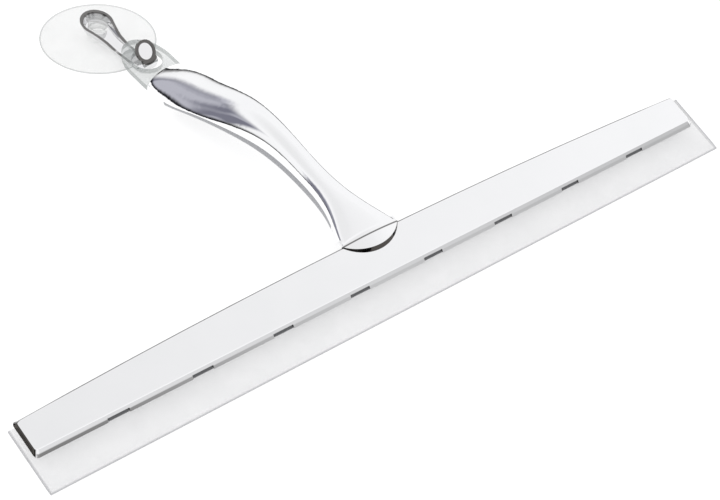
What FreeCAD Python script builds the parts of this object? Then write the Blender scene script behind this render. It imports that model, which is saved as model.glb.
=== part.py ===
import FreeCAD, Part
import math
import os

from FreeCAD import Vector

# A window and shower squeegee with its hanging hook and suction cup, lying on a flat
# surface. The blade's edge, the end of the grip and the rim of the cup rest on z = 0.
#
# Three frames, all in millimetres:
#   lay frame   +X along the head, +Y from the blade's edge (y = 0) to the cup, +Z up
#   head frame  +X along the head, +Y across it towards the grip, +Z out of its top face;
#               its origin is on the lower edge of the cover's front wall
#   row frame   the lay frame with its origin in the middle of the footprint

# ---- driving dimensions -------------------------------------------------------------

# head cover: a shallow channel of chromed plastic, bowed along its back
COVER_LENGTH = 352.0
COVER_DEPTH_AT_ENDS = 17.2
COVER_BOW = 4.7
COVER_HEIGHT = 2.3
COVER_DRAFT_FRONT = 2.4
COVER_DRAFT_BACK = 1.2
COVER_DRAFT_ENDS = 0.9
COVER_WALL = 1.1
COVER_CORNER_RADIUS = 2.0
COVER_EDGE_RADIUS = 0.6

# windows in the front wall, and the teeth that snap into them
TOOTH_COUNT = 8
TOOTH_PITCH = 39.6
TOOTH_WIDTH = 9.0
TOOTH_THICKNESS = 1.2
TOOTH_FRONT = 1.9
WINDOW_WIDTH = 10.0
WINDOW_HEIGHT = 1.2
TOOTH_PLAY = 0.25
TOOTH_NOSE_TIP = 0.5
TOOTH_NOSE_BOTTOM = 0.1
TOOTH_NOSE_GAP = 0.15

# blade: a clear flexible strip with a tapered lip
BLADE_LENGTH = 357.4
BLADE_REACH = 14.8
BLADE_UNDER_COVER = 15.0
BLADE_THICKNESS = 1.2
LIP_TAPER = 3.0
LIP_THICKNESS = 0.5

# carrier: the plate below the blade, with a lug that is screwed to the grip's foot
CARRIER_THICKNESS = 2.0
CARRIER_INSET_ENDS = 4.0
CARRIER_INSET_SIDES = 1.5
CARRIER_RIB_HALF_LENGTH = 145.0
CARRIER_RIB_THICKNESS = 1.2
CARRIER_RIB_TOP = 0.9
RIB_PLAY = 0.4
FUSE_DEPTH = 0.5
LUG_HALF_WIDTH_FRONT = 13.2
LUG_HALF_WIDTH_BACK = 9.4
LUG_END = 31.0

HEAD_TILT = 18.0

# grip: a hollow D section that follows a shallow S from the foot to the cut end.
# Each station is (y, half width, lowest z, z of the widest level, highest z, and the
# powers of its sides, crown and keel): with all three at 1 it is two half ellipses,
# under 1 they are squarer, and a crown over 1 is a dome that meets the keel at an edge.
GRIP_STATIONS = [
    (32.0, 15.2, 10.2, 13.2, 16.1, 0.62, 0.62, 0.6),
    (39.0, 13.0, 10.0, 13.6, 17.7, 0.66, 0.66, 0.6),
    (46.0, 10.4, 9.8, 14.6, 19.6, 0.72, 0.72, 0.6),
    (60.0, 6.9, 10.6, 16.6, 22.3, 0.78, 0.78, 0.6),
    (75.0, 6.2, 12.7, 18.5, 24.5, 0.78, 0.78, 0.6),
    (95.0, 7.7, 14.8, 20.5, 28.3, 0.88, 0.92, 0.65),
    (115.0, 11.4, 13.8, 19.7, 29.4, 1.0, 1.35, 0.85),
    (135.0, 14.1, 9.5, 15.8, 25.5, 1.0, 1.7, 1.0),
    (155.0, 14.7, 3.2, 9.3, 19.8, 1.0, 1.6, 1.0),
    (166.0, 13.8, 0.6, 6.7, 15.9, 1.0, 1.35, 0.8),
    (174.0, 12.4, 0.2, 4.9, 12.3, 1.0, 1.15, 0.7),
]
GRIP_WALL = 1.9
GRIP_END_RADIUS = 0.8
# the grip is hollow between these two of its stations
CAVITY_FIRST_STATION = 2
CAVITY_LAST_STATION = 9
UNDERSIDE_START = 46.0
UNDERSIDE_END = 158.0
UNDERSIDE_GAP = 0.1
TONGUE_HALF_WIDTH = 15.1
TONGUE_DEPTH = 7.8
TONGUE_THICKNESS = 1.6
TONGUE_CORNER_THICKNESS = 0.4
TONGUE_BROW = 1.4
TONGUE_TAIL = 3.0
TONGUE_OVERLAP = 0.2
FOOT_BROW_SLOPE = 1.15
FOOT_LUG_PLAY = 0.6

# clear tab with the hanging hole, plugged into the cut end of the grip
TAB_THICKNESS = 2.6
TAB_ROOT_BOTTOM = 2.2
TAB_ROOT_START = 161.0
TAB_ROOT_HALF_WIDTH = 8.0
TAB_BEND_Y = 178.0
TAB_SLOPE = 4.0
TAB_HALF_WIDTH = 11.0
TAB_ROUND_START = 188.0
TAB_END = 205.5
HOLE_Y = 191.0
HOLE_RADIUS = 7.2
TAB_PIN_Y = 167.5
TAB_PIN_RADIUS = 1.25
TAB_PIN_BOTTOM = 0.7
TAB_PIN_TOP = 9.0
TAB_SHOULDER_GAP = 0.2

# screws: self-tapping, pan heads with a cross recess
SCREW_HEAD_RADIUS = 2.4
SCREW_HEAD_HEIGHT = 1.3
SCREW_SHANK_RADIUS = 1.2
SCREW_HOLE_RADIUS = 1.5
SCREW_HEAD_ROUNDING = 0.6
SCREW_POINT_RADIUS = 0.4
SCREW_POINT_LENGTH = 1.2
SCREW_RECESS_LENGTH = 2.8
SCREW_RECESS_WIDTH = 0.6
SCREW_RECESS_DEPTH = 0.7
SCREW_COUNTERBORE_PLAY = 0.2
FOOT_SCREW_X = 6.5
FOOT_SCREW_ACROSS = 25.5
FOOT_SCREW_DEPTH = 5.2
GRIP_SCREW_YS = (98.0, 146.0)
GRIP_SCREW_DEPTH = 7.0
BOSS_RADIUS = 3.2

# hook: one stamped piece of chromed steel, dished along its length, with a round lip.
# Distances along it are measured from the cup's axis towards the hole, heights from z = 0.
HOOK_THICKNESS = 1.2
HOOK_OFFSET = -1.0
HOOK_REACH = 31.6
HOOK_LEAN = 8.2
# Each station is (distance along, underside of the floor, top of the rim).
HOOK_STATIONS = [
    (-12.0, 7.0, 11.4),
    (2.0, 4.7, 8.6),
    (11.0, 3.1, 5.3),
    (16.2, 2.0, 3.6),
    (24.0, 1.0, 2.6),
    (30.5, 0.5, 2.1),
]
HOOK_FLOOR = 1.0
HOOK_RIM = 1.3
HOOK_NECK = 10.5
# the outline's half widths at z = 0 and how much they grow for each mm of height
HOOK_HEAD_RADIUS = 4.25
HOOK_HEAD_FLARE = 0.405
HOOK_STEM_HALF_WIDTH = 3.7
HOOK_STEM_FLARE = 0.2
HOOK_HEAD_HOLE_RADIUS = 4.1
HOOK_LIP_RADIUS = 5.3
HOOK_LIP_Z = 10.3
HOOK_LIP_RECESS = 0.45
# the strip's middle line up through the hole, as (distance behind the hole's middle, z)
HOOK_LIP_PATH = [(4.0, 1.1), (-2.4, 1.1), (-3.6, 5.6), (5.0, 16.4)]
HOOK_LIP_BENDS = [1.8, 2.5]

# suction cup: one soft clear moulding, revolved about its own axis
CUP_RADIUS = 27.0
CUP_FLAT_RING = 2.5
CUP_RIM_THICKNESS = 0.3
CUP_CROWN = [(24.0, 0.6), (20.0, 0.85), (16.0, 1.2), (12.0, 1.75), (8.5, 2.5)]
CUP_SHOULDER_RADIUS = 5.2
CUP_SHOULDER_Z = 3.4
CUP_NECK_RADIUS = 3.4
CUP_KNOB_Z = 6.9
CUP_KNOB_RADIUS = 4.7
CUP_KNOB_EDGE = 0.8
CUP_HEIGHT = 10.4
CUP_HOLLOW = 1.1
CUP_DIMPLE_RADIUS = 2.0

# ---- places worked out from them ----------------------------------------------------

TILT = math.radians(HEAD_TILT)
LIP_TOP = -(BLADE_THICKNESS - LIP_THICKNESS) / 2
LIP_BOTTOM = LIP_TOP - LIP_THICKNESS
HEAD_Y = BLADE_REACH * math.cos(TILT) + LIP_TOP * math.sin(TILT)
HEAD_Z = BLADE_REACH * math.sin(TILT) - LIP_BOTTOM * math.cos(TILT)

CUP_X = HOOK_OFFSET - HOOK_REACH * math.sin(math.radians(HOOK_LEAN))
CUP_Y = HOLE_Y + HOOK_REACH * math.cos(math.radians(HOOK_LEAN))
FOOTPRINT_MIDDLE_Y = (CUP_Y + CUP_RADIUS) / 2

# how far back the cover and its top face reach in the middle, in the head frame
COVER_DEPTH = COVER_DEPTH_AT_ENDS + COVER_BOW
COVER_TOP_DEPTH = COVER_DEPTH - COVER_DRAFT_BACK

CARRIER_TOP = -BLADE_THICKNESS
CARRIER_BOTTOM = CARRIER_TOP - CARRIER_THICKNESS
TOOTH_XS = [(i - (TOOTH_COUNT - 1) / 2) * TOOTH_PITCH for i in range(TOOTH_COUNT)]
FAR = 60.0


# ---- small helpers ------------------------------------------------------------------

def to_lay(shape):
    """Carry a shape from the head frame into the lay frame."""
    shape = shape.copy()
    shape.rotate(Vector(0, 0, 0), Vector(1, 0, 0), HEAD_TILT)
    shape.translate(Vector(0, HEAD_Y, HEAD_Z))
    return shape


def block(x_half, y_range, z_range, x=0.0):
    """A box that is symmetric about the plane at x."""
    size = (2 * x_half, y_range[1] - y_range[0], z_range[1] - z_range[0])
    return Part.makeBox(*size, Vector(x - x_half, y_range[0], z_range[0]))


def cylinder(radius, bottom, top, x=0.0, y=0.0):
    return Part.makeCylinder(radius, top - bottom, Vector(x, y, bottom))


def line(a, b):
    return Part.LineSegment(a, b).toShape()


def arc(a, middle, b):
    return Part.Arc(a, middle, b).toShape()


def closed_polygon(points):
    return Part.makePolygon(points + [points[0]])


def solid_from(edges, direction):
    """Extrude a closed planar outline."""
    return Part.Face(Part.Wire(edges)).extrude(direction)


def export(name, shape):
    """Write one node, moved from the lay frame into the row frame."""
    shape = shape.copy()
    shape.translate(Vector(0, -FOOTPRINT_MIDDLE_Y, 0))
    shape.exportStep("parts/%s.step" % name)
    box = shape.BoundBox
    print("%-18s solids %d valid %s volume %8.1f  x %7.2f %7.2f  y %7.2f %7.2f  z %6.2f %6.2f" % (
        name, len(shape.Solids), shape.isValid(), shape.Volume,
        box.XMin, box.XMax, box.YMin, box.YMax, box.ZMin, box.ZMax))


# ---- head ---------------------------------------------------------------------------

def bowed_outline(z, ends, front, back):
    """Straight front, straight ends and one long arc along the back, in the head frame.
    Each side is drawn in from the cover's rim by its own inset."""
    half = COVER_LENGTH / 2 - ends
    end_y = COVER_DEPTH_AT_ENDS - back
    left_front = Vector(-half, front, z)
    right_front = Vector(half, front, z)
    right_back = Vector(half, end_y, z)
    left_back = Vector(-half, end_y, z)
    return Part.Wire([
        line(left_front, right_front),
        line(right_front, right_back),
        arc(right_back, Vector(0, end_y + COVER_BOW, z), left_back),
        line(left_back, left_front),
    ])


def cover_block(inset, bottom, top):
    """The cover's drafted envelope between two heights, drawn in by inset on every side."""
    outlines = []
    for z in (bottom, top):
        share = z / COVER_HEIGHT
        outlines.append(bowed_outline(
            z,
            inset + share * COVER_DRAFT_ENDS,
            inset + share * COVER_DRAFT_FRONT,
            inset + share * COVER_DRAFT_BACK))
    return Part.makeLoft(outlines, True, True)


def is_corner_edge(edge, height):
    """True for the four short sloping edges at the ends of the cover."""
    box = edge.BoundBox
    return box.ZLength > 0.9 * height and box.XLength < 5 and box.YLength < 5


def make_cover():
    envelope = cover_block(0.0, 0.0, COVER_HEIGHT)
    corners = [e for e in envelope.Edges if is_corner_edge(e, COVER_HEIGHT)]
    envelope = envelope.makeFillet(COVER_CORNER_RADIUS, corners)
    crown = [e for e in envelope.Edges if e.BoundBox.ZMin > COVER_HEIGHT - 0.01]
    envelope = envelope.makeFillet(COVER_EDGE_RADIUS, crown)
    hollow = cover_block(COVER_WALL, -0.1, COVER_HEIGHT - COVER_WALL)
    shell = envelope.cut(hollow)
    windows = [
        block(WINDOW_WIDTH / 2, (-1.0, TOOTH_FRONT + 0.6), (-0.1, WINDOW_HEIGHT), x)
        for x in TOOTH_XS
    ]
    shell = shell.cut(Part.makeCompound(windows))
    return to_lay(shell)


def make_blade():
    lip = -BLADE_REACH
    shoulder = lip + LIP_TAPER
    profile = [
        (BLADE_UNDER_COVER, 0.0),
        (shoulder, 0.0),
        (lip, LIP_TOP),
        (lip, LIP_BOTTOM),
        (shoulder, -BLADE_THICKNESS),
        (BLADE_UNDER_COVER, -BLADE_THICKNESS),
    ]
    points = [Vector(-BLADE_LENGTH / 2, y, z) for y, z in profile]
    strip = Part.Face(closed_polygon(points)).extrude(Vector(BLADE_LENGTH, 0, 0))
    slot_y = (TOOTH_FRONT - TOOTH_PLAY, TOOTH_FRONT + TOOTH_THICKNESS + TOOTH_PLAY)
    slots = [
        block(TOOTH_WIDTH / 2 + TOOTH_PLAY, slot_y, (-FAR, FAR), x)
        for x in TOOTH_XS
    ]
    return to_lay(strip.cut(Part.makeCompound(slots)))


def make_tooth(x):
    """One snap tooth: a stem through the blade with a nose in the cover's window."""
    stem_y = (TOOTH_FRONT, TOOTH_FRONT + TOOTH_THICKNESS)
    nose_top = WINDOW_HEIGHT - TOOTH_NOSE_GAP
    left = x - TOOTH_WIDTH / 2
    stem = block(TOOTH_WIDTH / 2, stem_y, (CARRIER_TOP - FUSE_DEPTH, nose_top), x)
    nose = [
        Vector(left, TOOTH_FRONT, TOOTH_NOSE_BOTTOM),
        Vector(left, TOOTH_NOSE_TIP, TOOTH_NOSE_BOTTOM),
        Vector(left, TOOTH_FRONT, nose_top),
    ]
    nose = Part.Face(closed_polygon(nose)).extrude(Vector(TOOTH_WIDTH, 0, 0))
    return stem.fuse(nose)


def make_lug():
    """The trapezium behind the carrier that closes the grip's foot from below."""
    front = COVER_DEPTH_AT_ENDS
    points = [
        Vector(-LUG_HALF_WIDTH_FRONT, front, CARRIER_BOTTOM),
        Vector(LUG_HALF_WIDTH_FRONT, front, CARRIER_BOTTOM),
        Vector(LUG_HALF_WIDTH_BACK, LUG_END, CARRIER_BOTTOM),
        Vector(-LUG_HALF_WIDTH_BACK, LUG_END, CARRIER_BOTTOM),
    ]
    return Part.Face(closed_polygon(points)).extrude(Vector(0, 0, CARRIER_THICKNESS))


def make_back_rib():
    """A rib that follows the cover's bowed back wall from the inside."""
    outer_inset = COVER_WALL + COVER_DRAFT_BACK + RIB_PLAY
    inner_inset = outer_inset + CARRIER_RIB_THICKNESS
    rib_height = Vector(0, 0, CARRIER_RIB_TOP - CARRIER_TOP + FUSE_DEPTH)
    outer, inner = [
        Part.Face(bowed_outline(CARRIER_TOP - FUSE_DEPTH, inset, inset, inset)).extrude(rib_height)
        for inset in (outer_inset, inner_inset)
    ]
    keep = block(CARRIER_RIB_HALF_LENGTH, (BLADE_UNDER_COVER + 0.1, FAR), (-FAR, FAR))
    return outer.cut(inner).common(keep)


def make_carrier():
    rim = bowed_outline(
        CARRIER_BOTTOM, CARRIER_INSET_ENDS, CARRIER_INSET_SIDES, CARRIER_INSET_SIDES)
    plate = Part.Face(rim).extrude(Vector(0, 0, CARRIER_THICKNESS))
    plate = plate.fuse([make_lug(), make_back_rib()] + [make_tooth(x) for x in TOOTH_XS])
    holes = [
        cylinder(SCREW_HOLE_RADIUS, -FAR, FAR, x, FOOT_SCREW_ACROSS)
        for x in (-FOOT_SCREW_X, FOOT_SCREW_X)
    ]
    return to_lay(plate.cut(Part.makeCompound(holes)).removeSplitter())


# ---- screws -------------------------------------------------------------------------

def make_screw(depth):
    """A pan-head screw that points along +Z, with the seat of its head at z = 0."""
    head = cylinder(SCREW_HEAD_RADIUS, -SCREW_HEAD_HEIGHT, 0.0)
    rim = [e for e in head.Edges if e.BoundBox.ZMax < -SCREW_HEAD_HEIGHT + 0.01]
    head = head.makeFillet(SCREW_HEAD_ROUNDING, rim)
    point = Part.makeCone(
        SCREW_SHANK_RADIUS, SCREW_POINT_RADIUS, SCREW_POINT_LENGTH, Vector(0, 0, depth))
    screw = head.fuse([cylinder(SCREW_SHANK_RADIUS, 0.0, depth), point])
    half_length = SCREW_RECESS_LENGTH / 2
    half_width = SCREW_RECESS_WIDTH / 2
    slot_z = (-SCREW_HEAD_HEIGHT - 1.0, -SCREW_HEAD_HEIGHT + SCREW_RECESS_DEPTH)
    recess = [
        block(half_length, (-half_width, half_width), slot_z),
        block(half_width, (-half_length, half_length), slot_z),
    ]
    return screw.cut(Part.makeCompound(recess))


def make_foot_screws():
    screws = []
    for x in (-FOOT_SCREW_X, FOOT_SCREW_X):
        screw = make_screw(FOOT_SCREW_DEPTH)
        screw.translate(Vector(x, FOOT_SCREW_ACROSS, CARRIER_BOTTOM))
        screws.append(to_lay(screw))
    return Part.makeCompound(screws)


def make_grip_screws():
    screws = []
    for y in GRIP_SCREW_YS:
        screw = make_screw(GRIP_SCREW_DEPTH)
        screw.translate(Vector(0, y, grip_screw_seat(y)))
        screws.append(screw)
    return Part.makeCompound(screws)


# ---- grip ---------------------------------------------------------------------------

def grip_level(column, y):
    """A station's value between two stations, in a straight line."""
    for low, high in zip(GRIP_STATIONS, GRIP_STATIONS[1:]):
        if y <= high[0]:
            share = (y - low[0]) / (high[0] - low[0])
            return low[column] + share * (high[column] - low[column])
    return GRIP_STATIONS[-1][column]


def grip_screw_seat(y):
    """The head's seat is halfway through the underside's thickness."""
    return (grip_level(2, y) + grip_level(3, y)) / 2 + 0.3


def signed_power(value, power):
    return math.copysign(abs(value) ** power, value)


def even_curve(points):
    """A smooth curve through points, with the same parameter step between each two."""
    curve = Part.BSplineCurve()
    curve.interpolate(Points=points, Parameters=[float(i) for i in range(len(points))])
    return curve.toShape()


def d_section(station, inset):
    """A domed crown over a flatter keel, drawn in by inset."""
    y, half_width, lowest, widest, highest, side, crown, keel = station
    half_width -= inset
    rise = highest - inset - widest
    drop = widest - lowest - inset / 2
    steps = 12
    upper = []
    lower = []
    for step in range(steps + 1):
        cosine = math.cos(math.pi * step / steps)
        sine = math.sin(math.pi * step / steps)
        upper_x = half_width * signed_power(cosine, side)
        upper.append(Vector(upper_x, y, widest + rise * signed_power(sine, crown)))
        lower_x = -half_width * signed_power(cosine, keel)
        lower.append(Vector(lower_x, y, widest - drop * signed_power(sine, keel)))
    upper[-1] = lower[0]
    lower[-1] = upper[0]
    return Part.Wire([even_curve(upper), even_curve(lower)])


def grip_skin(inset=0.0, first=0, last=None):
    """A smooth solid through the grip's stations."""
    sections = [d_section(s, inset) for s in GRIP_STATIONS[first:last]]
    return Part.makeLoft(sections, True, False, False, 3)


def below_parting(start, end, drop):
    """Everything under the grip's widest level, between two cross sections."""
    levels = [Vector(-FAR, s[0], s[3] - drop) for s in GRIP_STATIONS]
    parting = Part.BSplineCurve()
    parting.interpolate(Points=levels)
    first, last = levels[0], levels[-1]
    floor = -FAR
    face = Part.Face(Part.Wire([
        parting.toShape(),
        line(last, Vector(-FAR, last.y, floor)),
        line(Vector(-FAR, last.y, floor), Vector(-FAR, first.y, floor)),
        line(Vector(-FAR, first.y, floor), first),
    ]))
    return face.extrude(Vector(2 * FAR, 0, 0)).common(block(FAR, (start, end), (-FAR, FAR)))


def tongue_outline(inset, z):
    """A flat D: a round brow towards the blade and a straight back inside the foot."""
    chord = COVER_TOP_DEPTH + TONGUE_OVERLAP
    left = Vector(-TONGUE_HALF_WIDTH + inset, chord, z)
    right = Vector(TONGUE_HALF_WIDTH - inset, chord, z)
    tip = Vector(0, chord - TONGUE_DEPTH + inset, z)
    tail = Vector(0, TONGUE_TAIL, 0)
    return Part.Wire([
        arc(left, tip, right),
        line(right, right + tail),
        line(right + tail, left + tail),
        line(left + tail, left),
    ])


def make_tongue():
    """The half-round tongue on the cover's top face, thinner towards its corners."""
    top = COVER_HEIGHT + TONGUE_THICKNESS
    prism = Part.makeLoft(
        [tongue_outline(0.0, COVER_HEIGHT), tongue_outline(TONGUE_BROW, top)], True, True)
    sag = TONGUE_THICKNESS - TONGUE_CORNER_THICKNESS
    camber = (TONGUE_HALF_WIDTH ** 2 + sag ** 2) / (2 * sag)
    drum = Part.makeCylinder(camber, FAR, Vector(0, 0, top - camber), Vector(0, 1, 0))
    return prism.common(drum)


def above_foot_brow():
    """Everything in front of and above the sloping front face of the foot."""
    points = [
        Vector(-FAR, COVER_TOP_DEPTH, COVER_HEIGHT),
        Vector(-FAR, COVER_TOP_DEPTH + FOOT_BROW_SLOPE * FAR, COVER_HEIGHT + FAR),
        Vector(-FAR, -FAR, COVER_HEIGHT + FAR),
        Vector(-FAR, -FAR, COVER_HEIGHT),
    ]
    return Part.Face(closed_polygon(points)).extrude(Vector(2 * FAR, 0, 0))


def make_foot_clearance():
    """Everything that the foot leaves free for the cover and the carrier's lug."""
    pieces = [
        block(FAR, (-FAR, LUG_END + FOOT_LUG_PLAY), (-FAR, CARRIER_TOP)),
        block(FAR, (-FAR, COVER_DEPTH), (-FAR, 0.0)),
        cover_block(0.0, 0.0, COVER_HEIGHT),
        above_foot_brow(),
    ]
    return [to_lay(piece) for piece in pieces]


def make_pilot_holes():
    """The blind holes that the grip's and the foot's screws cut their threads in."""
    holes = []
    for y in GRIP_SCREW_YS:
        end = grip_screw_seat(y) + GRIP_SCREW_DEPTH + SCREW_POINT_LENGTH
        holes.append(cylinder(SCREW_SHANK_RADIUS, 0, end, 0, y))
    end = CARRIER_BOTTOM + FOOT_SCREW_DEPTH + SCREW_POINT_LENGTH
    for x in (-FOOT_SCREW_X, FOOT_SCREW_X):
        pilot = cylinder(SCREW_SHANK_RADIUS, CARRIER_BOTTOM, end, x, FOOT_SCREW_ACROSS)
        holes.append(to_lay(pilot))
    return holes


def make_grip_shell():
    cavity = grip_skin(GRIP_WALL, CAVITY_FIRST_STATION, CAVITY_LAST_STATION)
    bosses = [
        cylinder(BOSS_RADIUS, grip_level(3, y), grip_level(4, y), 0, y)
        for y in GRIP_SCREW_YS
    ]
    cavity = cavity.cut(Part.makeCompound(bosses))
    skin = grip_skin()
    end_rim = [e for e in skin.Edges if e.BoundBox.YMin > GRIP_STATIONS[-1][0] - 0.01]
    shell = skin.makeFillet(GRIP_END_RADIUS, end_rim).cut(cavity)
    shell = shell.cut(below_parting(UNDERSIDE_START, UNDERSIDE_END, 0.0))

    for space in make_foot_clearance():
        shell = shell.cut(space)
    cover_room = cover_block(0.0, 0.0, COVER_HEIGHT)
    shell = shell.fuse(to_lay(make_tongue().cut(cover_room)))
    for hole in make_pilot_holes():
        shell = shell.cut(hole)

    socket = block(
        TAB_ROOT_HALF_WIDTH, (TAB_ROOT_START, TAB_END),
        (TAB_ROOT_BOTTOM, TAB_ROOT_BOTTOM + TAB_THICKNESS))
    pin_hole = cylinder(TAB_PIN_RADIUS, -FAR, TAB_PIN_TOP, 0, TAB_PIN_Y)
    return shell.cut(socket).cut(pin_hole)


def make_grip_underside():
    region = below_parting(
        UNDERSIDE_START + UNDERSIDE_GAP, UNDERSIDE_END - UNDERSIDE_GAP, UNDERSIDE_GAP)
    underside = grip_skin().common(region)
    for y in GRIP_SCREW_YS:
        seat = grip_screw_seat(y)
        underside = underside.cut(cylinder(SCREW_HOLE_RADIUS, -FAR, FAR, 0, y))
        underside = underside.cut(cylinder(SCREW_HEAD_RADIUS + SCREW_COUNTERBORE_PLAY, -FAR, seat, 0, y))
    return underside


# ---- hanging tab --------------------------------------------------------------------

def make_tab():
    """A clear plate: a narrow root in the grip, a bend, and a rounded end with a hole."""
    rise = (TAB_END - TAB_BEND_Y) * math.tan(math.radians(TAB_SLOPE))
    side = [
        (TAB_ROOT_START, TAB_ROOT_BOTTOM),
        (TAB_BEND_Y, TAB_ROOT_BOTTOM),
        (TAB_END, TAB_ROOT_BOTTOM + rise),
        (TAB_END, TAB_ROOT_BOTTOM + rise + TAB_THICKNESS),
        (TAB_BEND_Y, TAB_ROOT_BOTTOM + TAB_THICKNESS),
        (TAB_ROOT_START, TAB_ROOT_BOTTOM + TAB_THICKNESS),
    ]
    slab_points = [Vector(-FAR, y, z) for y, z in side]
    slab = Part.Face(closed_polygon(slab_points)).extrude(Vector(2 * FAR, 0, 0))

    shoulder = GRIP_STATIONS[-1][0] + TAB_SHOULDER_GAP
    floor = -5.0
    corners = [
        Vector(TAB_HALF_WIDTH, TAB_ROUND_START, floor),
        Vector(TAB_HALF_WIDTH, shoulder, floor),
        Vector(TAB_ROOT_HALF_WIDTH, shoulder, floor),
        Vector(TAB_ROOT_HALF_WIDTH, TAB_ROOT_START, floor),
        Vector(-TAB_ROOT_HALF_WIDTH, TAB_ROOT_START, floor),
        Vector(-TAB_ROOT_HALF_WIDTH, shoulder, floor),
        Vector(-TAB_HALF_WIDTH, shoulder, floor),
        Vector(-TAB_HALF_WIDTH, TAB_ROUND_START, floor),
    ]
    edges = [line(a, b) for a, b in zip(corners, corners[1:])]
    nose = []
    steps = 8
    for step in range(steps + 1):
        angle = math.pi - math.pi * step / steps
        reach = (TAB_END - TAB_ROUND_START) * math.sin(angle)
        nose.append(Vector(TAB_HALF_WIDTH * math.cos(angle), TAB_ROUND_START + reach, floor))
    nose[-1] = corners[0]
    edges.append(even_curve(nose))
    plan = solid_from(edges, Vector(0, 0, FAR))
    tab = slab.common(plan)
    tab = tab.cut(cylinder(HOLE_RADIUS, -FAR, FAR, 0, HOLE_Y))
    return tab.cut(cylinder(TAB_PIN_RADIUS, -FAR, FAR, 0, TAB_PIN_Y))


def make_tab_pin():
    return cylinder(TAB_PIN_RADIUS, TAB_PIN_BOTTOM, TAB_PIN_TOP, 0, TAB_PIN_Y)


# ---- hook ---------------------------------------------------------------------------

def rounded_path(points, radii):
    """A wire of straight runs joined by tangent arcs at the inner points."""
    edges = []
    start = points[0]
    for i in range(1, len(points) - 1):
        corner = points[i]
        back = (points[i - 1] - corner).normalize()
        ahead = (points[i + 1] - corner).normalize()
        half_turn = back.getAngle(ahead) / 2
        run = radii[i - 1] / math.tan(half_turn)
        bisector = (back + ahead).normalize()
        middle = corner + bisector * (radii[i - 1] / math.sin(half_turn) - radii[i - 1])
        entry = corner + back * run
        leave = corner + ahead * run
        edges.append(line(start, entry))
        edges.append(arc(entry, middle, leave))
        start = leave
    edges.append(line(start, points[-1]))
    return Part.Wire(edges)


def strip_along(points, radii, half_width):
    """A flat strip of the hook's thickness, swept along a path in the YZ plane."""
    path = rounded_path(points, radii)
    first = points[0]
    ahead = (points[1] - first).normalize()
    side = Vector(half_width, 0, 0)
    lift = Vector(1, 0, 0).cross(ahead) * (HOOK_THICKNESS / 2)
    outline = closed_polygon([
        first - side - lift, first + side - lift, first + side + lift, first - side + lift])
    return path.makePipeShell([outline], True, False)


def keyhole_outline(z, inset):
    """The hook's plan at one height: a round head that narrows to a straight stem.
    The head's middle is at the origin and the stem runs along -Y."""
    radius = HOOK_HEAD_RADIUS + HOOK_HEAD_FLARE * z - inset
    half_width = HOOK_STEM_HALF_WIDTH + HOOK_STEM_FLARE * z - inset
    reach = math.hypot(HOOK_NECK, half_width)
    touch = math.atan2(half_width, HOOK_NECK) + math.acos(radius / reach)
    touch_x = radius * math.sin(touch)
    touch_y = -radius * math.cos(touch)
    end_y = -HOOK_STATIONS[-1][0]
    right = [Vector(touch_x, touch_y, z), Vector(half_width, -HOOK_NECK, z),
             Vector(half_width, end_y, z)]
    left = [Vector(-p.x, p.y, z) for p in reversed(right)]
    corners = right + left
    edges = [line(a, b) for a, b in zip(corners, corners[1:])]
    edges.append(arc(left[-1], Vector(0, radius, z), right[0]))
    return Part.Wire(edges)


def flared_block(inset):
    top = HOOK_STATIONS[0][2]
    return Part.makeLoft([keyhole_outline(0, inset), keyhole_outline(top, inset)], True, True)


def between_levels(lower, upper):
    """The slab between two lines of heights, given at the hook's stations."""
    alongs = [station[0] for station in HOOK_STATIONS]
    points = [Vector(-FAR, -along, z) for along, z in zip(alongs, lower)]
    points += [Vector(-FAR, -along, z) for along, z in reversed(list(zip(alongs, upper)))]
    return Part.Face(closed_polygon(points)).extrude(Vector(2 * FAR, 0, 0))


def make_hook_tray():
    """The head and stem: a sloping floor inside a flared rim."""
    underside = [station[1] for station in HOOK_STATIONS]
    floor = [z + HOOK_FLOOR for z in underside]
    rim = [station[2] for station in HOOK_STATIONS]
    sky = [FAR] * len(HOOK_STATIONS)
    tray = flared_block(0.0).common(between_levels(underside, rim))
    tray = tray.cut(flared_block(HOOK_RIM).common(between_levels(floor, sky)))
    return tray.cut(cylinder(HOOK_HEAD_HOLE_RADIUS, 0, FAR))


def make_hook_lip():
    """The strip that bends up through the hole and ends in a round paddle."""
    start, heel, knee, tip = [
        Vector(0, behind - HOOK_REACH, z) for behind, z in HOOK_LIP_PATH]
    strip = strip_along([start, heel, knee, tip], HOOK_LIP_BENDS, 2 * HOOK_LIP_RADIUS)

    up = (tip - knee).normalize()
    front = Vector(1, 0, 0).cross(up)
    middle = knee + up * ((HOOK_LIP_Z - knee.z) / up.z)
    disc = Part.makeCylinder(
        HOOK_LIP_RADIUS, 2 * HOOK_THICKNESS, middle - front * HOOK_THICKNESS, front)
    rim_top = HOOK_STATIONS[-1][2]
    stem_half_width = HOOK_STEM_HALF_WIDTH + HOOK_STEM_FLARE * rim_top
    stem = block(stem_half_width, (-FAR, start.y), (0.0, HOOK_LIP_Z - HOOK_LIP_RADIUS / 2))
    recess = Part.makeCylinder(
        HOOK_LIP_RADIUS - HOOK_RIM, HOOK_THICKNESS,
        middle + front * (HOOK_THICKNESS / 2 - HOOK_LIP_RECESS), front)
    return strip.common(disc.fuse(stem)).cut(recess)


def make_hook():
    """Built straight behind the hole, then turned about the cup's axis."""
    hook = make_hook_tray().fuse(make_hook_lip()).removeSplitter()
    hook.rotate(Vector(0, 0, 0), Vector(0, 0, 1), HOOK_LEAN)
    hook.translate(Vector(CUP_X, CUP_Y, 0))
    return hook


# ---- suction cup --------------------------------------------------------------------

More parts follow.
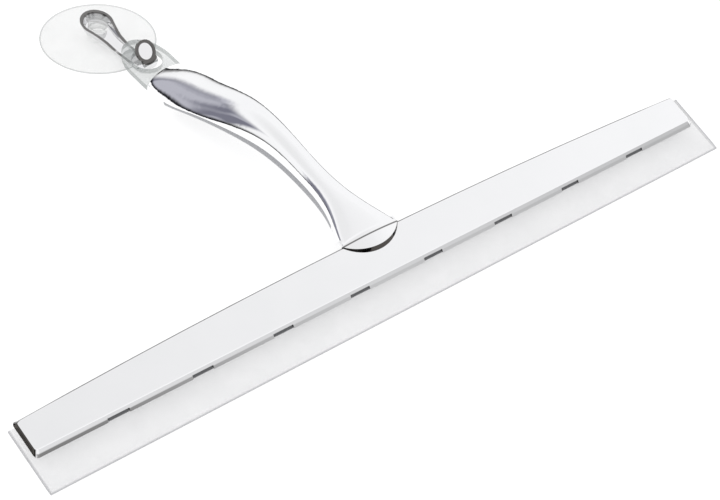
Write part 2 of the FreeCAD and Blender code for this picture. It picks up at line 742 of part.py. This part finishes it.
def make_cup():
    ring = CUP_RADIUS - CUP_FLAT_RING

    def at(radius, z):
        return Vector(radius, 0, z)

    rim_top = at(CUP_RADIUS, CUP_RIM_THICKNESS)
    shoulder = at(CUP_SHOULDER_RADIUS, CUP_SHOULDER_Z)
    crown = Part.BSplineCurve()
    crown.interpolate(Points=[rim_top] + [at(r, z) for r, z in CUP_CROWN] + [shoulder])
    knob_low = at(CUP_KNOB_RADIUS, CUP_KNOB_Z + CUP_KNOB_EDGE)
    knob_high = at(CUP_KNOB_RADIUS, CUP_HEIGHT - CUP_KNOB_EDGE)
    top_edge = at(CUP_KNOB_RADIUS - CUP_KNOB_EDGE, CUP_HEIGHT)
    bevel = CUP_KNOB_EDGE * (1 - math.sqrt(0.5))
    profile = Part.Wire([
        line(at(0, CUP_HOLLOW), at(0, CUP_HEIGHT)),
        line(at(0, CUP_HEIGHT), top_edge),
        arc(top_edge, at(CUP_KNOB_RADIUS - bevel, CUP_HEIGHT - bevel), knob_high),
        line(knob_high, knob_low),
        line(knob_low, at(CUP_NECK_RADIUS, CUP_KNOB_Z)),
        line(at(CUP_NECK_RADIUS, CUP_KNOB_Z), at(CUP_NECK_RADIUS, CUP_SHOULDER_Z)),
        line(at(CUP_NECK_RADIUS, CUP_SHOULDER_Z), shoulder),
        crown.toShape(),
        line(rim_top, at(CUP_RADIUS, 0)),
        line(at(CUP_RADIUS, 0), at(ring, 0)),
        arc(at(ring, 0), at(ring * 0.6, 0.6 * CUP_HOLLOW), at(CUP_DIMPLE_RADIUS, CUP_HOLLOW)),
        line(at(CUP_DIMPLE_RADIUS, CUP_HOLLOW), at(0, CUP_HOLLOW)),
    ])
    cup = Part.Face(profile).revolve(Vector(0, 0, 0), Vector(0, 0, 1), 360)
    cup.translate(Vector(CUP_X, CUP_Y, 0))
    return cup


os.makedirs("parts", exist_ok=True)
NODES = {
    "head_cover": make_cover,
    "blade": make_blade,
    "blade_carrier": make_carrier,
    "foot_screws": make_foot_screws,
    "grip_shell": make_grip_shell,
    "grip_underside": make_grip_underside,
    "grip_screws": make_grip_screws,
    "hanging_tab": make_tab,
    "tab_pin": make_tab_pin,
    "hook": make_hook,
    "suction_cup": make_cup,
}
for name, make in NODES.items():
    export(name, make())
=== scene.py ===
import math

import bpy
from mathutils import Matrix, Vector


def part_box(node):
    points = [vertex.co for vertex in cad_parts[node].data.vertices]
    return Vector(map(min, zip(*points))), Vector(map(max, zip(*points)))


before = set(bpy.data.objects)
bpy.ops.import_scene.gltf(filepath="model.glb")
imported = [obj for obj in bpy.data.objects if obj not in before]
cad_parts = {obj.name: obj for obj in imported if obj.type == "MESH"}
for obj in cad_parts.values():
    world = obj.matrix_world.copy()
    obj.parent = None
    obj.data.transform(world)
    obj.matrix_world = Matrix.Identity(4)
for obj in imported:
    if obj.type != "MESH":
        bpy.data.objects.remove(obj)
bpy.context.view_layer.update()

MM = 0.001

# the head's tilt, and its origin on the lower edge of the cover's front wall, as measured
# from the blade's lip; the foot meets the cover's top face this far behind that origin
HEAD_TILT = 18.0
HEAD_ORIGIN_Y = 13.97 * MM
HEAD_ORIGIN_Z = 5.38 * MM
SEAM_DEPTH = 20.7 * MM
# the hook leans by this angle from +Y, and its lip is this far ahead of the cup's axis
HOOK_LEAN = 8.2
HOOK_LIP_AHEAD = 31.5 * MM
HOOK_LIP_Z = 10.3 * MM
# the hook's floor: its height at the cup's axis, and how it falls towards the lip
HOOK_FLOOR_HEIGHT = 5.0 * MM
HOOK_FLOOR_SLOPE = -0.17
# the way that the round lip faces, and the radii between which its painted dark ring sets in
HOOK_LIP_FACING = (0.0, -0.782, 0.623)
HOOK_RING_RADII = (3.7 * MM, 4.0 * MM)
# how dark the reflections painted on the hook's rims and on the ring round its lip are, from 0
# to 1
RIM_REFLECTION_DARKNESS = 0.85
RING_REFLECTION_DARKNESS = 0.92

# how dark the painted reflection at the foot of the cover's front wall is, at these two places
# along the head
PAINTED_WALL_DARKNESS = (0.75, 0.12)
WALL_FADE = (-170 * MM, 0.0)
# the colour of the dark reflections and shade painted onto the chrome
PAINTED_DARK_COLOUR = (0.07, 0.065, 0.06)

# the table, and how far it lies under the part so that the two don't touch
FLOOR_SIZE = 60.0
FLOOR_DROP = 0.0002

# the room's grey at each sine of the height above the horizon
ROOM_GREYS = ((0.04, 0.03), (0.11, 0.42), (0.17, 0.93), (0.30, 1.0), (0.76, 1.0), (0.93, 0.88))
# the dark band at the horizon is narrower this way, which the cover's front wall mirrors
NARROW_BAND_WAY = (0.51, -0.86, 0.0)
BAND_NARROWING = 1.1
DOOR_WAY = (-1.0, 0.0, 0.0)


# ---- node helpers -------------------------------------------------------------------

def new_material(name):
    material = bpy.data.materials.new(name)
    material.use_nodes = True
    shader = material.node_tree.nodes["Principled BSDF"]
    return material, material.node_tree, shader


def add_node(tree, kind, **settings):
    """A new node. A setting that names an input fills it, and any other is an attribute."""
    node = tree.nodes.new(kind)
    for key, value in settings.items():
        if key in node.inputs:
            node.inputs[key].default_value = value
        else:
            setattr(node, key, value)
    return node


def connect(tree, source, target):
    """Feeds a socket from another socket, or sets it to a plain value."""
    if isinstance(source, bpy.types.NodeSocket):
        tree.links.new(source, target)
    else:
        target.default_value = source


def math_node(tree, operation, *values):
    node = add_node(tree, "ShaderNodeMath", operation=operation)
    for socket, value in zip(node.inputs, values):
        connect(tree, value, socket)
    return node.outputs["Value"]


def either(tree, first, second):
    """The larger of two masks."""
    return math_node(tree, "MAXIMUM", first, second)


def both(tree, first, second):
    """Where two masks overlap."""
    return math_node(tree, "MULTIPLY", first, second)


def coordinate(tree, kind="Object"):
    """The surface's place in the row frame, in metres, or another kind of coordinate."""
    return add_node(tree, "ShaderNodeTexCoord").outputs[kind]


def split_xyz(tree, vector):
    split = add_node(tree, "ShaderNodeSeparateXYZ")
    tree.links.new(vector, split.inputs["Vector"])
    return split.outputs["X"], split.outputs["Y"], split.outputs["Z"]


def position(tree):
    """The three coordinates of the surface in the row frame, in metres."""
    return split_xyz(tree, coordinate(tree))


def dot(tree, vector, direction):
    """How far a vector reaches along one direction."""
    node = add_node(tree, "ShaderNodeVectorMath", operation="DOT_PRODUCT")
    tree.links.new(vector, node.inputs[0])
    node.inputs[1].default_value = direction
    return node.outputs["Value"]


def along(tree, place, centre, direction):
    """How far the surface is from a point, measured along one direction."""
    step = add_node(tree, "ShaderNodeVectorMath", operation="SUBTRACT")
    tree.links.new(place, step.inputs[0])
    step.inputs[1].default_value = centre
    return dot(tree, step.outputs["Vector"], direction)


def distance(tree, place, centre):
    """How far the surface is from a point."""
    step = add_node(tree, "ShaderNodeVectorMath", operation="DISTANCE")
    tree.links.new(place, step.inputs[0])
    step.inputs[1].default_value = centre
    return step.outputs["Value"]


def noise(tree, scale, detail=2.0, stretch=(1.0, 1.0, 1.0)):
    """Noise in the row frame, in turns per metre."""
    mapping = add_node(tree, "ShaderNodeMapping", Scale=stretch)
    texture = add_node(tree, "ShaderNodeTexNoise", Scale=scale, Detail=detail)
    tree.links.new(coordinate(tree), mapping.inputs["Vector"])
    tree.links.new(mapping.outputs["Vector"], texture.inputs["Vector"])
    return texture.outputs["Fac"]


def mapped(tree, value, low, high, start=0.35, end=0.65):
    """Stretches a value from start..end to low..high, with soft ends."""
    ramp = add_node(tree, "ShaderNodeMapRange", interpolation_type="SMOOTHSTEP")
    ramp.inputs["From Min"].default_value = start
    ramp.inputs["From Max"].default_value = end
    ramp.inputs["To Min"].default_value = low
    ramp.inputs["To Max"].default_value = high
    tree.links.new(value, ramp.inputs["Value"])
    return ramp.outputs["Result"]


def fade(tree, value, start, end):
    """1 at or before start and 0 at or after end, or the other way round if end < start."""
    if start < end:
        return mapped(tree, value, 1.0, 0.0, start, end)
    return mapped(tree, value, 0.0, 1.0, end, start)


def blended(tree, value, first, second):
    """A colour between two colours, either of which may itself be a socket."""
    mix = add_node(tree, "ShaderNodeMix", data_type="RGBA")
    for source, target in ((first, mix.inputs["A"]), (second, mix.inputs["B"])):
        if isinstance(source, tuple):
            source = (*source, 1.0)
        connect(tree, source, target)
    tree.links.new(value, mix.inputs["Factor"])
    return mix.outputs["Result"]


def bumped(tree, shader, value, height):
    bump = add_node(tree, "ShaderNodeBump", Strength=1.0, Distance=height)
    tree.links.new(value, bump.inputs["Height"])
    tree.links.new(bump.outputs["Normal"], shader.inputs["Normal"])


# ---- materials ----------------------------------------------------------------------

def chrome(name, dark, light, roughness, peel, painted_dark_mask=None):
    """Chrome: slightly uneven colour, smudges in the polish, hairlines and orange peel.
    Its last argument is a mask, 1 where dark reflections and shade are painted into the colour
    and 0 elsewhere."""
    material, tree, shader = new_material(name)
    shader.inputs["Metallic"].default_value = 1.0
    smudge = noise(tree, 45.0, 4.0)
    hairlines = noise(tree, 2500.0, 1.0, (0.05, 1.0, 1.0))
    colour = blended(tree, smudge, dark, light)
    # paint dark reflections and shade into the colour where the mask is 1
    if painted_dark_mask:
        colour = blended(tree, painted_dark_mask(tree), colour, PAINTED_DARK_COLOUR)
    tree.links.new(colour, shader.inputs["Base Color"])
    smudged = mapped(tree, smudge, roughness, 1.8 * roughness)
    lined = mapped(tree, hairlines, 0.0, 0.5 * roughness, 0.55, 0.75)
    tree.links.new(math_node(tree, "ADD", smudged, lined), shader.inputs["Roughness"])
    bumped(tree, shader, noise(tree, 260.0, 1.0), peel)
    return material


def moulded_plastic(name, colour):
    """Satin grey plastic with a fine moulded grain and faint flow marks along the part."""
    material, tree, shader = new_material(name)
    grain = noise(tree, 1400.0, 2.0)
    flow = noise(tree, 60.0, 3.0, (0.2, 1.0, 1.0))
    pale = tuple(min(1.0, 1.12 * c) for c in colour)
    tree.links.new(blended(tree, flow, colour, pale), shader.inputs["Base Color"])
    tree.links.new(mapped(tree, grain, 0.38, 0.52), shader.inputs["Roughness"])
    bumped(tree, shader, grain, 0.00002)
    return material


def screw_steel():
    """Turned and plated steel: tool marks as noise stretched along Z in the row frame."""
    material, tree, shader = new_material("screw_steel")
    shader.inputs["Metallic"].default_value = 1.0
    marks = noise(tree, 3000.0, 2.0, (1.0, 1.0, 0.1))
    tree.links.new(blended(tree, marks, (0.42, 0.42, 0.42), (0.66, 0.65, 0.63)),
                   shader.inputs["Base Color"])
    tree.links.new(mapped(tree, marks, 0.22, 0.40), shader.inputs["Roughness"])
    bumped(tree, shader, marks, 0.00001)
    return material


def clear_plastic(name, body, edge, clearness, edge_clearness, mask, roughness=0.08):
    """Clear plastic: pale and see-through on its faces, and darker along its edges, a painted
    shade for the light trapped there. mask(tree) is 0 on the faces and 1 on the edges."""
    material, tree, shader = new_material(name)
    at_edge = mask(tree)
    haze = noise(tree, 70.0, 3.0)
    body_light = tuple(min(1.0, 1.08 * c) for c in body)
    face = blended(tree, haze, body, body_light)
    tree.links.new(blended(tree, at_edge, face, edge), shader.inputs["Base Color"])
    face_alpha = mapped(tree, haze, 0.94 * (1 - clearness), 1.06 * (1 - clearness))
    alpha = add_node(tree, "ShaderNodeMix", data_type="FLOAT")
    tree.links.new(at_edge, alpha.inputs["Factor"])
    tree.links.new(face_alpha, alpha.inputs["A"])
    alpha.inputs["B"].default_value = 1 - edge_clearness
    tree.links.new(alpha.outputs["Result"], shader.inputs["Alpha"])
    tree.links.new(mapped(tree, haze, roughness, 1.6 * roughness), shader.inputs["Roughness"])
    shader.inputs["IOR"].default_value = 1.45
    return material


def blade_edges(tree):
    """1 along the blade's lip and its two ends, where the painted edge shade goes."""
    low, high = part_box("blade")
    x, y, _ = position(tree)
    near_end = mapped(tree, math_node(tree, "ABSOLUTE", x), 0.0, 1.0,
                      high[0] - 0.9 * MM, high[0] - 0.3 * MM)
    near_lip = mapped(tree, y, 1.0, 0.0, low[1] + 0.3 * MM, low[1] + 0.9 * MM)
    return either(tree, near_end, near_lip)


def cup_edges(tree):
    """1 on the cup's rim, with fainter rings at the neck and the knob, where its painted edge
    shade goes.
    """
    low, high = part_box("suction_cup")
    middle_x = (low[0] + high[0]) / 2
    middle_y = (low[1] + high[1]) / 2
    rim = (high[0] - low[0]) / 2
    x, y, _ = position(tree)
    across = math_node(tree, "SUBTRACT", x, middle_x)
    along = math_node(tree, "SUBTRACT", y, middle_y)
    squares = math_node(tree, "ADD", math_node(tree, "MULTIPLY", across, across),
                        math_node(tree, "MULTIPLY", along, along))
    radius = math_node(tree, "SQRT", squares)
    outer = mapped(tree, radius, 0.0, 1.0, rim - 0.9 * MM, rim - 0.2 * MM)
    inner_start = mapped(tree, radius, 0.0, 0.35, 3.0 * MM, 3.6 * MM)
    inner_end = mapped(tree, radius, 1.0, 0.0, 4.8 * MM, 6.0 * MM)
    return either(tree, outer, both(tree, inner_start, inner_end))


def hook_dark_reflections(tree):
    """Nearly 1 on the tops of the hook's rims and on the ring round its lip, where dark
    reflections are painted.
    """
    low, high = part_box("suction_cup")
    cup = ((low[0] + high[0]) / 2, (low[1] + high[1]) / 2, 0.0)
    lean = math.radians(HOOK_LEAN)
    ahead = (math.sin(lean), -math.cos(lean), 0.0)
    lip = tuple(c + HOOK_LIP_AHEAD * a for c, a in zip(cup[:2], ahead)) + (HOOK_LIP_Z,)
    place = coordinate(tree)
    reach = along(tree, place, cup, ahead)
    _, _, height = position(tree)

    floor = math_node(tree, "MULTIPLY_ADD", reach, HOOK_FLOOR_SLOPE, HOOK_FLOOR_HEIGHT)
    rim_height = mapped(tree, reach, 4.1 * MM, 1.6 * MM, 2 * MM, 14 * MM)
    share = math_node(tree, "DIVIDE", math_node(tree, "SUBTRACT", height, floor), rim_height)
    rim = mapped(tree, share, 0.0, RIM_REFLECTION_DARKNESS, 0.78, 0.92)
    rim = both(tree, rim, fade(tree, reach, 25 * MM, 27 * MM))

    from_lip = distance(tree, place, lip)
    off_axis = along(tree, place, lip, HOOK_LIP_FACING)
    radius = math_node(tree, "SQRT", math_node(
        tree, "SUBTRACT", math_node(tree, "MULTIPLY", from_lip, from_lip),
        math_node(tree, "MULTIPLY", off_axis, off_axis)))
    ring = mapped(tree, radius, 0.0, RING_REFLECTION_DARKNESS, *HOOK_RING_RADII)
    near_lip = fade(tree, from_lip, 6.2 * MM, 6.6 * MM)
    rim = both(tree, rim, math_node(tree, "SUBTRACT", 1.0, near_lip))
    return either(tree, rim, both(tree, ring, near_lip))


def head_frame(tree):
    """In the head's tilted frame: how far back and how high the surface is, and how much
    it faces along the head, backwards and outwards."""
    tilt = math.radians(HEAD_TILT)
    across = (0.0, math.cos(tilt), math.sin(tilt))
    outwards = (0.0, -math.sin(tilt), math.cos(tilt))
    low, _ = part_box("blade")
    origin = (0.0, low[1] + HEAD_ORIGIN_Y, HEAD_ORIGIN_Z)
    place = coordinate(tree)
    normal = coordinate(tree, "Normal")
    return (along(tree, place, origin, across), along(tree, place, origin, outwards),
            dot(tree, normal, (1.0, 0.0, 0.0)), dot(tree, normal, across),
            dot(tree, normal, outwards))


def foot_painted_dark(tree):
    """1 on the tongue's brow, where a dark reflection is painted, and in the seam between the
    tongue and the foot, where a shadow is painted.
    """
    depth, _, _, _, outwards = head_frame(tree)
    brow = both(tree, fade(tree, outwards, 0.82, 0.92),
                fade(tree, depth, 20.4 * MM, 20.6 * MM))
    off_seam = math_node(tree, "ABSOLUTE", math_node(tree, "SUBTRACT", depth, SEAM_DEPTH))
    seam = mapped(tree, off_seam, 0.85, 0.0, 0.15 * MM, 0.5 * MM)
    return either(tree, brow, seam)


def cover_dark_reflections(tree):
    """Where dark reflections are painted on the cover's chrome: 1 on its end walls, and less
    along its back edge and its front wall's foot, where it fades towards +X. The foot of the
    front wall holds a painted reflection of the shaded table under the blade."""
    _, height, sideways, backwards, _ = head_frame(tree)
    x, _, _ = position(tree)
    ends = mapped(tree, math_node(tree, "ABSOLUTE", sideways), 0.0, 1.0, 0.45, 0.70)
    back_edge = both(tree, mapped(tree, backwards, 0.0, 0.8, 0.20, 0.40),
                     fade(tree, backwards, 0.70, 0.85))
    front_foot = both(tree, fade(tree, height, 0.8 * MM, 1.2 * MM),
                      fade(tree, backwards, -0.6, -0.4))
    front_foot = both(tree, front_foot, mapped(tree, x, *PAINTED_WALL_DARKNESS, *WALL_FADE))
    return either(tree, ends, either(tree, back_edge, front_foot))


def wall_edges(tree):
    """1 on upright walls, 0 on flat faces: where the tab's painted edge shade goes."""
    _, _, upwards = split_xyz(tree, coordinate(tree, "Normal"))
    return fade(tree, math_node(tree, "ABSOLUTE", upwards), 0.3, 0.8)


# the chrome of the cover and the grip carries painted dark reflections and shade from the masks
# above
PLATE = chrome("chrome_plate", (0.88, 0.885, 0.89), (0.93, 0.93, 0.935), 0.035, 0.0000004,
               cover_dark_reflections)
SHELL = chrome("chrome_grip", (0.88, 0.885, 0.89), (0.93, 0.93, 0.935), 0.035, 0.0000004,
               foot_painted_dark)
STEEL = chrome("chromed_steel", (0.78, 0.78, 0.79), (0.86, 0.86, 0.86), 0.06, 0.000002,
               hook_dark_reflections)
SCREWS = screw_steel()
MATERIALS = {
    "head_cover": PLATE,
    "grip_shell": SHELL,
    # grey plastic, its tone darkened as a painted shade for the dark band along the grip's lower
    # edge
    "grip_underside": moulded_plastic("underside_plastic", (0.34, 0.345, 0.36)),
    "blade": clear_plastic("clear_pvc_blade", (0.60, 0.60, 0.61), (0.34, 0.34, 0.36),
                           0.74, 0.50, blade_edges),
    "blade_carrier": moulded_plastic("carrier_plastic", (0.09, 0.092, 0.096)),
    "hanging_tab": clear_plastic("clear_tab", (0.50, 0.53, 0.52), (0.22, 0.25, 0.24),
                                 0.72, 0.42, wall_edges),
    "hook": STEEL,
    "foot_screws": SCREWS,
    "grip_screws": SCREWS,
    "tab_pin": SCREWS,
    "suction_cup": clear_plastic("clear_pvc_cup", (0.58, 0.59, 0.58), (0.34, 0.36, 0.35),
                                 0.82, 0.62, cup_edges),
}


def dress(node, obj):
    obj.data.materials.clear()
    obj.data.materials.append(MATERIALS[node])
    for polygon in obj.data.polygons:
        polygon.use_smooth = True


for node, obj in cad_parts.items():
    dress(node, obj)


# ---- studio -------------------------------------------------------------------------

def add_camera():
    """Looks down at about 42 degrees, from in front of the blade's left end."""
    right = Vector((0.7678, -0.6359, 0.0783))
    up = Vector((0.3800, 0.5504, 0.7434))
    back = right.cross(up)
    location = Vector((-0.4640, -0.5733, 0.5992))
    data = bpy.data.cameras.new("camera")
    data.sensor_width = 36.0
    data.lens = 107.5
    camera = bpy.data.objects.new("camera", data)
    turn = Matrix((right, up, back)).transposed()
    camera.matrix_world = Matrix.Translation(location) @ turn.to_4x4()
    bpy.context.scene.collection.objects.link(camera)
    bpy.context.scene.camera = camera


def add_floor():
    """A pale table that is lit from below, so that shadows on it stay faint."""
    bpy.ops.mesh.primitive_plane_add(size=FLOOR_SIZE, location=(0, 0, -FLOOR_DROP))
    floor = bpy.context.object
    floor.name = "floor"
    material, tree, shader = new_material("pale_floor")
    shader.inputs["Base Color"].default_value = (0.36, 0.36, 0.36, 1)
    shader.inputs["Roughness"].default_value = 0.9
    shader.inputs["Specular IOR Level"].default_value = 0.0
    shader.inputs["Emission Color"].default_value = (1.0, 1.0, 1.0, 1)
    shader.inputs["Emission Strength"].default_value = 0.76
    floor.data.materials.append(material)


def add_world():
    """A white room with a dark horizon, a grey screen and a dark doorway. They are there
    to be mirrored in the chrome."""
    world = bpy.data.worlds.new("studio")
    world.use_nodes = True
    tree = world.node_tree
    background = tree.nodes["Background"]
    way = coordinate(tree, "Generated")
    x, y, height = split_xyz(tree, way)

    room = add_node(tree, "ShaderNodeValToRGB")
    stops = room.color_ramp.elements
    stops[0].position = 0.0
    stops[0].color = (0.012, 0.012, 0.015, 1)
    stops[1].position = 1.0
    stops[1].color = (0.88, 0.88, 0.88, 1)
    for sine, grey in ROOM_GREYS:
        stop = stops.new(sine)
        stop.color = (grey, grey, 1.01 * grey, 1)
    facing = fade(tree, dot(tree, way, NARROW_BAND_WAY), 0.97, 0.85)
    stretch = math_node(tree, "MULTIPLY_ADD", facing, BAND_NARROWING, 1.0)
    tree.links.new(math_node(tree, "MULTIPLY", height, stretch), room.inputs["Fac"])

    # the screen: how far it reaches sideways and upwards
    azimuth = math_node(tree, "ARCTAN2", y, x)
    screen = fade(tree, azimuth, math.radians(100), math.radians(82))
    screen = both(tree, screen, fade(tree, azimuth, math.radians(147), math.radians(153)))
    screen = both(tree, screen, fade(tree, height, 0.50, 0.70))
    folds = add_node(tree, "ShaderNodeTexNoise", Scale=2.6, Detail=1.0)
    tree.links.new(way, folds.inputs["Vector"])
    cloth = blended(tree, mapped(tree, folds.outputs["Fac"], 0.0, 1.0, 0.4, 0.6),
                    (0.20, 0.20, 0.25), (0.50, 0.50, 0.56))
    cloth = blended(tree, fade(tree, height, 0.05, 0.16), cloth, (0.02, 0.02, 0.025))
    seen = blended(tree, screen, room.outputs["Color"], cloth)

    # a dark doorway to the left of the blade, low down
    door = both(tree, fade(tree, dot(tree, way, DOOR_WAY), 0.95, 0.92),
                fade(tree, height, 0.22, 0.32))
    seen = blended(tree, door, seen, (0.02, 0.02, 0.022))
    tree.links.new(seen, background.inputs["Color"])
    background.inputs["Strength"].default_value = 1.03
    bpy.context.scene.world = world


def add_key_light():
    data = bpy.data.lights.new("key", "AREA")
    data.shape = "DISK"
    data.size = 1.6
    data.energy = 12.0
    lamp = bpy.data.objects.new("key", data)
    lamp.location = (-0.6, 1.3, 1.5)
    lamp.rotation_euler = (Vector((0, 0, 0)) - lamp.location).to_track_quat("-Z", "Y").to_euler()
    lamp.visible_glossy = False
    bpy.context.scene.collection.objects.link(lamp)


add_camera()
add_floor()
add_world()
add_key_light()
bpy.context.scene.view_settings.view_transform = "Standard"
